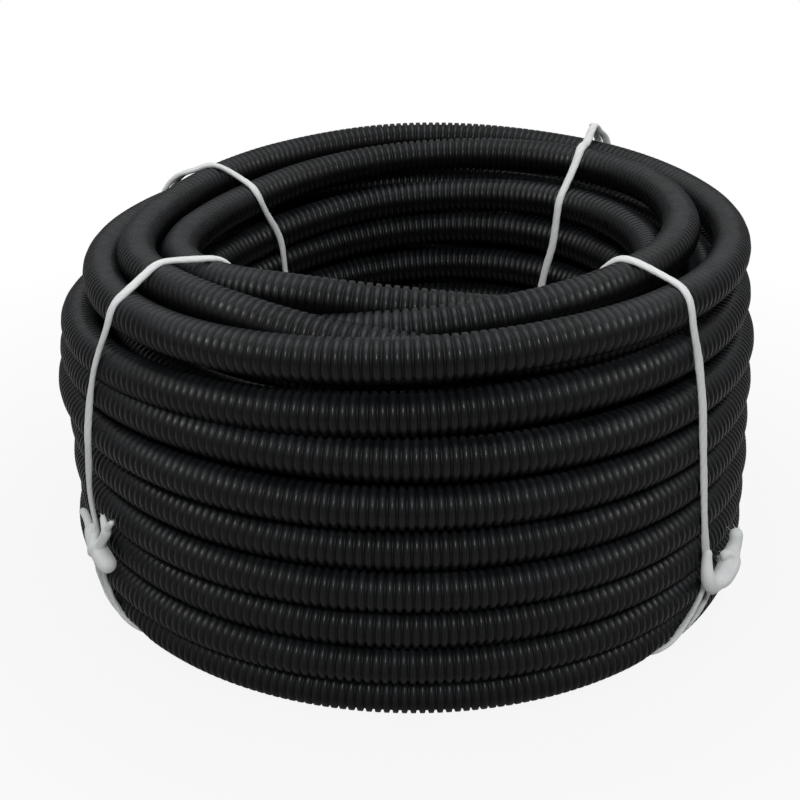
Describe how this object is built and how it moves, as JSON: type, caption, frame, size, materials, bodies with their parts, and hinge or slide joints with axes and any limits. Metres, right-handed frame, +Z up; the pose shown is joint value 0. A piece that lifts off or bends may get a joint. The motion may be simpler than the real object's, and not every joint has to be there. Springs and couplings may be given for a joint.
{
  "type": "coil of corrugated conduit",
  "caption": "Free-standing coil of flexible corrugated conduit, wound in rows and layers round an open bore and held by ties of soft twine.",
  "frame": {"origin": "middle of the flat underside, on the coil's axis, at the level that it stands on", "axes": "+Z up along the coil's axis, -Y towards the picture's viewer, +X to the viewer's right"},
  "size_m": [0.3768, 0.3757, 0.2063],
  "materials": {
    "conduit_plastic": "black, satin, faintly dusty on top of the ribs",
    "twine": "off-white soft braided twine, slightly fuzzy, frayed at its cut ends"
  },
  "bodies": {
    "root": {"conduit_coil": "conduit_plastic", "tie_front_left": "twine", "tie_front_right": "twine", "tie_back_right": "twine", "tie_back_left": "twine"}
  },
  "joints": []
}
